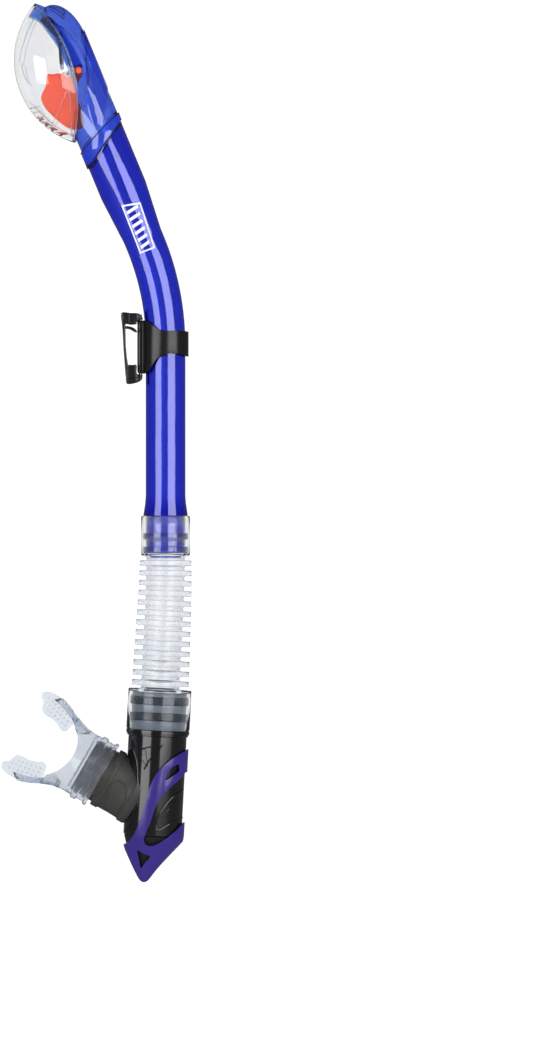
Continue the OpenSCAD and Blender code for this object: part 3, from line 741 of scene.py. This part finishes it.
# ----------------------------------------
# The purge chamber: a gloss black moulded pipe. Its neck carries two broad ridges
# inside the hose's cuff; below the flange the wall has raised lines, a three-
# cornered panel and a louvred vent. The valve's seat and disc close its foot.
CHAMBER_TOP = -80.7
PURGE_R = 16.0
PURGE_FOOT = -138.7


def on_pipe(radius, points, side, proud=0.0):
    """Points given by x and z, laid on a round wall about Z on one side."""
    reach = radius + proud
    return [(x, side * math.sqrt(max(0.01, reach ** 2 - x ** 2)), z) for x, z in points]


chamber = lathe("black_chamber", [
    (13, -60.6), (14.6, -60.6), (15, -61), (15, -62.6), (15.7, -62.6), (16.1, -63), (16.1, -66.4),
    (15.7, -66.9), (15, -66.9), (15, -71.1), (15.7, -71.1), (16.1, -71.5), (16.1, -75),
    (15.7, -75.5), (15, -75.5), (15, CHAMBER_TOP), (17.1, CHAMBER_TOP), (17.4, CHAMBER_TOP - 0.3),
    (17.4, CHAMBER_TOP - 2), (16.9, CHAMBER_TOP - 2.3), (16.9, CHAMBER_TOP - 3),
    (16.5, CHAMBER_TOP - 3.4), (PURGE_R, CHAMBER_TOP - 3.5), (PURGE_R, PURGE_FOOT + 0.4),
    (PURGE_R - 0.4, PURGE_FOOT), (14, PURGE_FOOT), (14, CHAMBER_TOP - 4), (13, CHAMBER_TOP - 5)],
    steps=128)
port = lathe("port_hole", [(0, 0), (12.7, 0), (12.7, 40), (0, 40)], 64)
IN_PORT = IN_LOWER @ shift(0, 0, -122.2) @ tip(-63)
place(chamber, IN_LOWER)
place(port, IN_PORT)
carve(chamber, port)
neat(chamber)
lines = []
for side in (-1, 1):
    for width, line in (
            (0.3, [(-13.6, -90.4), (-9.6, -95.5), (-4.2, -100.6), (-6.1, -91.6), (-13.6, -90.4)]),
            (0.3, [(-14.4, -100.8), (-8.2, -91.2), (-3.1, -89.7)]),
            (0.35, [(3.1, -88.4), (0.4, -92.6), (-3.8, -97.3), (-6.2, -102.3)]),
            (0.4, [(15.5, -112.8), (13.4, -114.4), (10.9, -116.2), (8.2, -119), (5.9, -122.4),
                   (3.6, -126), (2.3, -129.4), (1.9, -132.4), (2.6, -134.8), (5, -134.4),
                   (10, -131), (15.8, -128.4)]),
            (0.25, [(15.4, -117.4), (12, -119.4), (9.2, -122.2), (7.4, -125.2), (6.9, -128.4)]),
            (0.45, [(-9.4, -107.6), (-8.9, -114), (-9.2, -120.6), (-10.6, -127.4),
                    (-12.6, -133.2), (-14.6, -136.4)]),
            (0.3, [(-12.4, -92.4), (-10.6, -97.4), (-9.6, -103), (-9.4, -107.6)])):
        path = line if len(line) < 6 else curve_through(line, 5)
        lines.append(wire("line", on_pipe(PURGE_R, path, side, 0.15), 1.25 * width,
                          matrix=IN_LOWER))
    lines.append(wire("panel_mark", on_pipe(PURGE_R, [(-9.7, -92.6), (-7.6, -94.6)], side, -0.2),
                      0.5, matrix=IN_LOWER))
chamber = joined("black_chamber", [chamber] + lines)
smooth(chamber, 35)
gloss_black = satin("gloss_black_plastic", (0.006, 0.006, 0.0065), 0.14, 0.3, 30, 0.02, coat=0.6)
wear(chamber, gloss_black)
# Painted light and shade on the neck: one slate plastic in two copies, a dark one on the ridges
# and a pale one between them, chosen by how far each face stands from the axis.
chamber.data.materials.append(satin("neck_slate_painted_shade", (0.012, 0.022, 0.035), 0.25))
chamber.data.materials.append(satin("neck_slate_painted_light", (0.16, 0.2, 0.25), 0.3))
for face in chamber.data.polygons:
    spot = IN_LOWER.inverted() @ face.center / MM
    if spot.z > CHAMBER_TOP:
        face.material_index = 1 if math.hypot(spot.x, spot.y) > 15.3 else 2
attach(chamber, "chamber")
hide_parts("purge_chamber")
wear(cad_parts["purge_seat"], satin("seat_plastic", (0.05, 0.05, 0.05), 0.4))

# ----------------------------------------
# The mouth elbow: a matt grey barrel pressed into the chamber's side. It is flat
# on both cheeks, each with a raised arch, and ends in a ring behind the spigot
# that the mouthpiece turns on.
BARREL_R = 17.2
BARREL_FLAT = 14.5
BARREL_END = 31.0
FLATTEN = Matrix.Diagonal((1, BARREL_FLAT / BARREL_R, 1, 1))
barrel = lathe("barrel", [
    (11.5, 9), (16.6, 9), (17.1, 10), (17.4, 10.4), (17.4, 13.9), (17.0, 14.2), (16.5, 14.8),
    (16.3, 20), (16.4, 26), (16.5, 26.6), (17.0, 26.8), (17.2, 27.2), (17.2, BARREL_END - 0.5),
    (16.8, BARREL_END), (11.5, BARREL_END)], 96)
place(barrel, FLATTEN)
spigot = lathe("spigot", [
    (11.5, 29), (15.4, 29), (15.4, 34), (15.9, 34.1), (16.3, 34.5), (16.3, 36.7), (15.9, 37.1),
    (15.4, 37.1), (15.4, 39.4), (15.9, 39.5), (16.3, 39.9), (16.3, 42.1), (15.9, 42.5),
    (15.4, 42.5), (15.4, 43.6), (15.1, 44), (11.5, 44)], 96)
arches = []
for side in (-1, 1):
    for width, line in ((0.45, [(-15.2, 15.6), (-6, 15.2), (0.2, 17.4), (2.5, 20.6), (2.2, 23.8),
                                (-0.8, 25.6), (-6, 25.4), (-12, 23.6), (-15.6, 22.4)]),
                        (0.35, [(14.2, 16), (15.2, 21), (15.2, 25.4)])):
        points = []
        for x, along in curve_through(line, 6):
            points.append((x, side * BARREL_FLAT / BARREL_R * math.sqrt(16.35 ** 2 - x ** 2),
                           along))
        arches.append(wire("arch", points, width))
elbow = joined("grey_elbow", [barrel, spigot] + arches)
place(elbow, IN_PORT)
smooth(elbow, 35)
wear(elbow, satin("matt_grey_plastic", (0.04, 0.04, 0.036), 0.48, 0.1, 50, 0.35, specks=900))
elbow.data.materials.append(satin("slate_plastic", (0.045, 0.055, 0.08), 0.25))
for face in elbow.data.polygons:
    if (IN_PORT.inverted() @ face.center).z > (BARREL_END + 0.5) * MM:
        face.material_index = 1
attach(elbow, "chamber")
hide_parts("mouth_elbow")

# ----------------------------------------
# The guard: a violet shield that clips round the chamber. Its band sweeps up the
# back, wide windows show the chamber, and its hollow nose points down and keeps
# knocks off the purge valve. A thin black sheet inside the nose is painted shade
# behind the small windows.
GUARD_R = 17.4
GUARD_WALL = 1.35
SHADE_SHEET_INSET = 1.5
SHADE_SHEET_WALL = 0.8
NOSE = ((-141.4, 0.1, 16.9), (-144.4, -0.7, 15.2), (-147.6, -1.5, 13.2), (-151, -2.1, 10.9),
        (-154.4, -2.7, 8.6), (-157.6, -3.1, 6.5), (-160.4, -3.3, 4.7), (-162.6, -3.4, 3.3),
        (-164.2, -3.4, 2), (-164.9, -3.4, 0.8))


def guard_form(ob_name, grow, top):
    """The shield's outside as a closed solid, smaller or larger all round by grow."""
    ob = begin(ob_name, bpy.ops.mesh.primitive_circle_add, vertices=112,
               radius=(GUARD_R + grow) * MM, fill_type="NGON", location=(0, 0, top * MM))
    rings = ((-100, 0, GUARD_R), (-120, 0, GUARD_R), (-138.4, 0, GUARD_R)) + NOSE
    before = (top, 0, GUARD_R)
    for z, x, radius in rings:
        bpy.ops.mesh.extrude_region_move(
            TRANSFORM_OT_translate={"value": ((x - before[1]) * MM, 0, (z - before[0]) * MM)})
        size = (radius + grow) / (before[2] + grow)
        bpy.ops.transform.resize(value=(size, size, 1), center_override=(x * MM, 0, z * MM))
        before = (z, x, radius)
    close_up()
    if grow < 0:
        ob.data.transform(shift(0, 0, -grow * 0.8))
    return ob


guard = guard_form("violet_guard", 0, -86)
carve(guard, guard_form("guard_room", -GUARD_WALL, -80))
band_edge = curve_through([(16.9, -90.6), (14.4, -92.2), (11.7, -93.8), (8.2, -96.3), (5.2, -99),
                           (2.4, -102), (0.2, -105.2), (-1.6, -109.2), (-2.9, -113.7),
                           (-4, -118.2), (-4.9, -122.2), (-5.8, -126), (-6.8, -129.4),
                           (-8, -133.2), (-9.4, -136.8), (-11, -139.9), (-12.7, -142.3),
                           (-14.2, -143.9), (-15.8, -144.9)], 3)
cuts = [band_edge + [(-30, -146), (-30, -70), (30, -70), (30, -90)]]
window = curve_through([(16.6, -103.2), (14, -106.6), (11.2, -109.2), (8.9, -111.4),
                        (6.7, -113.8), (4.6, -116.2), (2.8, -118.9), (1.6, -121.5),
                        (0.6, -124.3), (-0.4, -128.2), (-1.4, -132.2), (-2.8, -135.6),
                        (-3.9, -138.8), (-4.2, -140.8), (-3.6, -142.6), (-2.4, -143.7),
                        (-0.7, -144.1), (1.4, -143.6), (3.4, -142.6), (8, -139.5),
                        (13.1, -135), (16.2, -131.2)], 3)
cuts.append(window + [(30, -128), (30, -102)])
cuts.append(curve_through([(12.4, -98.7), (12.9, -100.6), (12.8, -102.7), (9.4, -105.4),
                           (5.9, -107.6), (6.2, -105.4), (7.2, -103.5), (9.1, -100.6)],
                          3, closed=True))
cuts.append(curve_through([(-7.5, -146.9), (-4, -148.6), (-0.5, -150.1), (-2.9, -153.4),
                           (-5.2, -156.8), (-6.2, -153.4), (-7, -150)], 3, closed=True))
for cut in cuts:
    carve(guard, plate("window", cut, -30, 30))
neat(guard)
soften(guard, 0.45, 3, 45)
place(guard, IN_LOWER)
smooth(guard)
wear(guard, satin("violet_plastic", (0.03, 0.016, 0.21), 0.3, 0.12, 45, 0.12, coat=0.2))
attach(guard, "chamber")
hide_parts("purge_guard")

# Painted shade: a thin black sheet just inside the nose, cut to the windows' height, darkens what
# shows through the small windows in place of the shade inside the hollow nose.
shade_sheet = guard_form("nose_painted_shade_sheet", -SHADE_SHEET_INSET, -90)
carve(shade_sheet, guard_form("shade_sheet_room", -SHADE_SHEET_INSET - SHADE_SHEET_WALL, -80))
cut_off(shade_sheet, Matrix.Identity(4), (0, 0, -139.1), (0, 0, 1))
cut_off(shade_sheet, Matrix.Identity(4), (0, 0, -158.6), (0, 0, -1))
place(shade_sheet, IN_LOWER)
smooth(shade_sheet)
wear(shade_sheet, satin("painted_shade_black", (0.012, 0.012, 0.009), 0.4))
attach(shade_sheet, "chamber")

# ----------------------------------------
# The mouthpiece: soft clear silicone. A cuff with two rims turns on the spigot; a
# neck opens into the curved lip shield, which runs out into two wings with
# dimpled bite tabs.
CUFF_START = 32.8
CUFF_END = 45.1
DIMPLE_R = 0.55
cuff = lathe("mouth_cuff", [
    (16.4, CUFF_START), (19.0, CUFF_START), (19.2, CUFF_START + 0.3), (19.2, CUFF_START + 1.5),
    (18.9, CUFF_START + 2), (18.0, CUFF_START + 2.3), (18.0, CUFF_START + 6.3),
    (18.9, CUFF_START + 6.6), (19.2, CUFF_START + 7), (19.2, CUFF_START + 9.2),
    (18.9, CUFF_START + 9.7), (18, CUFF_START + 10), (17.8, CUFF_END + 1.5),
    (14.5, CUFF_END + 1.5), (14.5, CUFF_END - 0.4), (16.4, CUFF_END - 0.6)], 96)

neck = begin("neck", bpy.ops.mesh.primitive_circle_add, vertices=96, radius=17.8 * MM,
             location=(0, 0, (CUFF_END + 1) * MM))
before = (17.8, 17.8, CUFF_END + 1)
for wide, deep, along in ((17.9, 16.4, CUFF_END + 4), (18.4, 14.4, CUFF_END + 7.4),
                          (19.4, 12.4, CUFF_END + 11), (20.9, 10.6, CUFF_END + 14.6)):
    bpy.ops.mesh.extrude_region_move(
        TRANSFORM_OT_translate={"value": (0, 0, (along - before[2]) * MM)})
    bpy.ops.transform.resize(value=(wide / before[0], deep / before[1], 1))
    before = (wide, deep, along)
object_mode()
only(neck)
wall = neck.modifiers.new("wall", "SOLIDIFY")
wall.thickness = 1.8 * MM
wall.offset = -1
bpy.ops.object.modifier_apply(modifier=wall.name)
mouth_arc = curve_through([(21, 70), (16.2, 59.6), (12.6, 55.6), (8, 53), (3.8, 52), (-0.4, 52),
                           (-4.6, 52.9), (-8.4, 54.4), (-11.6, 56.4), (-15.1, 59.8),
                           (-21, 70)], 5)
carve(neck, plate("mouth_room", mouth_arc, -30, 30))

pieces = [cuff, neck]
for turned in (1, -1):
    inner = [(14.2, 57.4), (16.4, 59.4), (18.6, 62.4), (20.2, 66), (21.4, 70), (22.4, 74),
             (22.8, 77.6), (22.4, 80.6), (21.6, 82.6)]
    outer = [(23.4, 84.0), (25.3, 82), (26.4, 78.6), (26.4, 75.4), (25.2, 70.2), (23.3, 65.2),
             (20.6, 60), (18.3, 54), (17.4, 50), (15.4, 52), (13.4, 55.2)]
    wing = curve_through(inner + outer, 4, closed=True)
    strip = plate("strip", [(turned * x, s) for x, s in wing], -12, 12)
    form = begin("form", bpy.ops.mesh.primitive_uv_sphere_add, segments=64, ring_count=32,
                 radius=1)
    bpy.ops.transform.resize(value=(32 * MM, 12 * MM, 35 * MM), center_override=(0, 0, 0))
    bpy.ops.transform.translate(value=(0, 0, 52 * MM))
    object_mode()
    carve(strip, form, "INTERSECT")
    neat(strip)
    soften(strip, 0.7, 3, 40)
    tab = plate("tab", [(turned * x, s) for x, s in curve_through(
        [(16.4, 60.6), (14.9, 61.2), (11.6, 61.8), (10.4, 63), (10.2, 65), (11.6, 67.4),
         (12.6, 70.2), (13.1, 73), (13, 75.6), (14.2, 79.2), (16.6, 80.2), (19, 81.2),
         (20.4, 83.4), (22.6, 83.8), (24.8, 81.6), (25.6, 77), (24.8, 71.4), (22.6, 66.6),
         (19.4, 62.2)],
        4, closed=True)], -2, 2)
    soften(tab, 0.9, 3, 40)
    pieces += [strip, tab]
    for row in range(7):
        for column in range(4):
            x = 13.6 + column * 2.6 + 0.5 * row
            s = 64.2 + row * 2.5
            if x > 22.6 or (row > 5 and column < 1):
                continue
            for side in (-1, 1):
                dimple = begin("dimple", bpy.ops.mesh.primitive_ico_sphere_add,
                               subdivisions=1, radius=DIMPLE_R * MM,
                               location=Vector((turned * x, side * 1.9, s)) * MM)
                object_mode()
                pieces.append(dimple)
mouth = joined("clear_mouthpiece", pieces)
place(mouth, IN_PORT)
smooth(mouth, 45)
wear(mouth, clear_plastic("mouth_silicone", (0.9, 0.91, 0.94), 0.95, rough=0.07, ior=1.36,
                          grain=0.06, dye=(0.8, 0.84, 0.9), depth=300))
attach(mouth, "mouthpiece")
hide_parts("mouthpiece")

# ----------------------------------------
# The keeper: a springy black band that slides on the tube. It flares into a tall
# foot with a pin, and the strap loop swings on that pin.
BAND_BORE = 11.3
BAND_R = 12.7
KEEPER_TOP = 13.43
KEEPER_FOOT = -15.77
PIN_X = -13.9
FOOT_R = 1.7
satin_black = satin("satin_black_plastic", (0.008, 0.008, 0.009), 0.22, 0.25, 40, 0.1)


def around_pin(radius):
    """Half a circle about the loop's pin, on the side away from the tube, in X and Y."""
    turns = [math.pi * (1.5 - step / 12) for step in range(13)]
    return [(PIN_X + radius * math.cos(turn), radius * math.sin(turn)) for turn in turns]


def lengthwise(ob_name, points):
    """A solid as long as the keeper with a flat outline in X and Y."""
    ob = loop_of(ob_name, [(x, y, 0) for x, y in points])
    draw_out((0, 0, -40), (0, 0, 40))
    return ob


band = lathe("band", [(BAND_BORE, KEEPER_FOOT), (BAND_R, KEEPER_FOOT), (BAND_R, KEEPER_TOP),
                      (BAND_BORE, KEEPER_TOP)], 128)
above = curve_through([(-14, 13.6), (-11.6, 13.5), (-9.4, 12.5), (-7.5, 11), (-5.2, 9.3),
                       (-3.2, 8.2), (-0.6, 7.7), (2.6, 7.5), (9.5, 7.5), (13.5, 7.2)], 4)
below = curve_through([(13.5, -6.6), (10.7, -6), (7.8, -5.2), (4.9, -4.9), (1.2, -5.2),
                       (-2.5, -6.4), (-4.9, -8.2), (-6.7, -10.7), (-8.2, -13.2), (-9.8, -15.2),
                       (-14, -16)], 4)
carve(band, plate("above", above + [(20, 30), (-20, 30)], -30, 30))
carve(band, plate("below", below + [(-20, -30), (20, -30)], -30, 30))
neat(band)
foot = plate("foot", curve_through([(-15.4, KEEPER_TOP - 0.3), (-13, KEEPER_TOP), (-11.5, 12.6),
                                    (-11.35, 6), (-11.35, -8), (-11.35, -14.6),
                                    (-12.6, KEEPER_FOOT), (-15, KEEPER_FOOT + 0.3),
                                    (-15.55, -12), (-15.55, 10)], 4, closed=True), -1.8, 1.8)
carve(foot, lengthwise("knuckle", around_pin(FOOT_R) + [(-11, FOOT_R), (-11, -FOOT_R)]),
      "INTERSECT")
soften(band, 0.35, 3, 45)
ribs = [wire("foot_rib", [(-12.6, y, KEEPER_FOOT + 1.2), (-12.6, y, KEEPER_TOP - 1.2)], 0.2)
        for y in (-FOOT_R, FOOT_R)]
keeper = joined("black_keeper", [band, foot] + ribs)
smooth(keeper)
wear(keeper, satin_black)
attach(keeper, "keeper")
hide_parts("keeper_band")

LOOP_GAP = 0.3
LUG_TALL = 3.5
LOOP_TOP = KEEPER_TOP + LOOP_GAP + LUG_TALL
LOOP_FOOT = KEEPER_FOOT - LOOP_GAP - LUG_TALL
LOOP_HALF_W = 4.5
LUG_R = 1.6
pieces = [
    plate("loop_top", curve_through(
        [(-24.2, LOOP_TOP + 0.2), (-19, LOOP_TOP + 0.2), (-14.6, LOOP_TOP),
         (-12.9, LOOP_TOP - 1.8), (-12.6, KEEPER_TOP + 0.5), (-14, KEEPER_TOP + 0.35),
         (-15.9, KEEPER_TOP - 0.8), (-16, 11.6), (-19, 11.2), (-21.6, 11.6), (-23.6, 11)],
        4, closed=True), -LOOP_HALF_W, LOOP_HALF_W),
    plate("loop_bar", [(-24.4, 16), (-22.2, 14), (-22.1, 11), (-21.9, 0), (-21.3, -7),
                       (-20.4, -12), (-20.6, -19), (-22, -17), (-22.4, -11), (-23.1, -2),
                       (-23.6, 8)], -4.3, 4.3),
    plate("loop_tongue", curve_through([(-22.3, 10.3), (-18.6, 9.8), (-16.2, 8.4), (-15.8, 7),
                                        (-17.2, 7.2), (-19.6, 8.6), (-22.2, 9.1)], 3,
                                       closed=True), -4, 4),
    plate("loop_foot", curve_through(
        [(-20.6, -11.4), (-18, -11.1), (-15.9, -11.2), (-15.9, KEEPER_FOOT + 0.3),
         (-14, KEEPER_FOOT - 0.4), (-12.7, KEEPER_FOOT - 0.5), (-12.9, LOOP_FOOT + 1),
         (-14.2, LOOP_FOOT - 0.4), (-17, LOOP_FOOT - 1.4), (-20.4, LOOP_FOOT - 1.9),
         (-21.6, LOOP_FOOT - 1), (-21.7, -16)], 4, closed=True), -LOOP_HALF_W, LOOP_HALF_W)]
lug = [(PIN_X - x, y) for x, y in ((LUG_R, -LUG_R), (LUG_R, -4.7), (12, -4.7), (12, 4.7),
                                   (LUG_R, 4.7), (LUG_R, LUG_R))]
nose = [(2 * PIN_X - x, y) for x, y in around_pin(LUG_R)]
for piece in pieces:
    carve(piece, lengthwise("lug_plan", lug + nose[::-1]), "INTERSECT")
    neat(piece)
    soften(piece, 0.3, 2, 40)
seams = []
for y in (-LOOP_HALF_W, LOOP_HALF_W):
    seams.append(wire("loop_seam", [(-19.9, y, 11.9), (-19.9, y, LOOP_TOP - 0.3)], 0.2))
    seams.append(wire("foot_seam", [(-21, y, LOOP_FOOT + 0.8), (-17, y, LOOP_FOOT + 1.4),
                                    (-13.6, y, LOOP_FOOT + 2)], 0.2))
loop = joined("black_strap_loop", pieces + seams)
smooth(loop)
wear(loop, satin_black)
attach(loop, "strap_loop")
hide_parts("strap_loop")

# ----------------------------------------
# The studio: a pale floor just under the snorkel, bright air behind it, and tall
# soft lamps left and right of the camera that draw two streaks down the tube.
FLOOR_Z = -0.33


def mirror_rays(tree):
    """One for rays that come off a gloss, nothing for all others."""
    path = tree.nodes.new("ShaderNodeLightPath")
    both = tree.nodes.new("ShaderNodeMath")
    both.operation = "MULTIPLY"
    tree.links.new(path.outputs["Is Glossy Ray"], both.inputs[0])
    tree.links.new(path.outputs["Is Reflection Ray"], both.inputs[1])
    return both.outputs["Value"]


def pale(mat_name, shade):
    """Paper that looks evenly white but hardly shows in the plastic's gloss."""
    mat = bpy.data.materials.new(mat_name)
    mat.use_nodes = True
    tree = mat.node_tree
    bsdf = tree.nodes["Principled BSDF"]
    bsdf.inputs["Base Color"].default_value = (shade, shade, shade, 1)
    bsdf.inputs["Roughness"].default_value = 0.9
    bsdf.inputs["Emission Color"].default_value = (1, 1, 1, 1)
    glow = ramp(tree, mirror_rays(tree), 1.0, 0.04)
    tree.links.new(glow.outputs["Result"], bsdf.inputs["Emission Strength"])
    mat.cycles.emission_sampling = "NONE"
    return mat


floor = begin("studio_floor", bpy.ops.mesh.primitive_plane_add, size=9,
              location=(0, 0, FLOOR_Z))
object_mode()
wear(floor, pale("studio_paper", 0.1))


def lamp(lamp_name, azimuth, width, watts):
    """A soft box that faces the snorkel; azimuth 0 is the camera's side."""
    distance, height, z = 1.5, 1.3, -0.05
    data = bpy.data.lights.new(lamp_name, "AREA")
    data.shape = "RECTANGLE"
    data.size = width
    data.size_y = height
    data.energy = watts
    ob = bpy.data.objects.new(lamp_name, data)
    bpy.context.scene.collection.objects.link(ob)
    turn = math.radians(azimuth)
    ob.location = (distance * math.sin(turn), -distance * math.cos(turn), z)
    aim = Vector((0, 0, z)) - ob.location
    ob.rotation_euler = aim.to_track_quat("-Z", "Y").to_euler()


lamp("left_softbox", -41, 0.95, 13)
lamp("right_softbox", 36, 1.2, 17)

world = bpy.data.worlds.new("studio_air")
world.use_nodes = True
tree = world.node_tree
air, wires = tree.nodes, tree.links
view_dir = air.new("ShaderNodeTexCoord")
split = air.new("ShaderNodeSeparateXYZ")
wires.new(view_dir.outputs["Generated"], split.inputs["Vector"])
backlight = ramp(tree, split.outputs["Y"], 0.2, 1.1, -0.1, 0.85)
backlight.interpolation_type = "SMOOTHSTEP"
mirrored = ramp(tree, split.outputs["Y"], 0.09, 1.1, 0.93, 0.99)
path = air.new("ShaderNodeLightPath")
lift = ramp(tree, path.outputs["Is Transmission Ray"], 0, 0.42)
through = air.new("ShaderNodeMix")
through.inputs["B"].default_value = 1.0
wires.new(lift.outputs["Result"], through.inputs["Factor"])
wires.new(backlight.outputs["Result"], through.inputs["A"])
either = air.new("ShaderNodeMix")
wires.new(mirror_rays(tree), either.inputs["Factor"])
wires.new(through.outputs["Result"], either.inputs["A"])
wires.new(mirrored.outputs["Result"], either.inputs["B"])
wires.new(either.outputs["Result"], air["Background"].inputs["Strength"])
air["Background"].inputs["Color"].default_value = (1, 1, 1, 1)
world.cycles.sampling_method = "NONE"
bpy.context.scene.world = world
bpy.context.scene.view_settings.view_transform = "Standard"

CAMERA_AWAY = 3.0
FRAME_TALL = 0.5753
eye = bpy.data.cameras.new("camera")
eye.sensor_fit = "AUTO"
eye.sensor_width = 36
eye.lens = 36 * CAMERA_AWAY / FRAME_TALL
camera = bpy.data.objects.new("camera", eye)
camera.location = (0.0555, -CAMERA_AWAY, -0.0979)
camera.rotation_euler = (math.pi / 2, 0, 0)
bpy.context.scene.collection.objects.link(camera)
bpy.context.scene.camera = camera
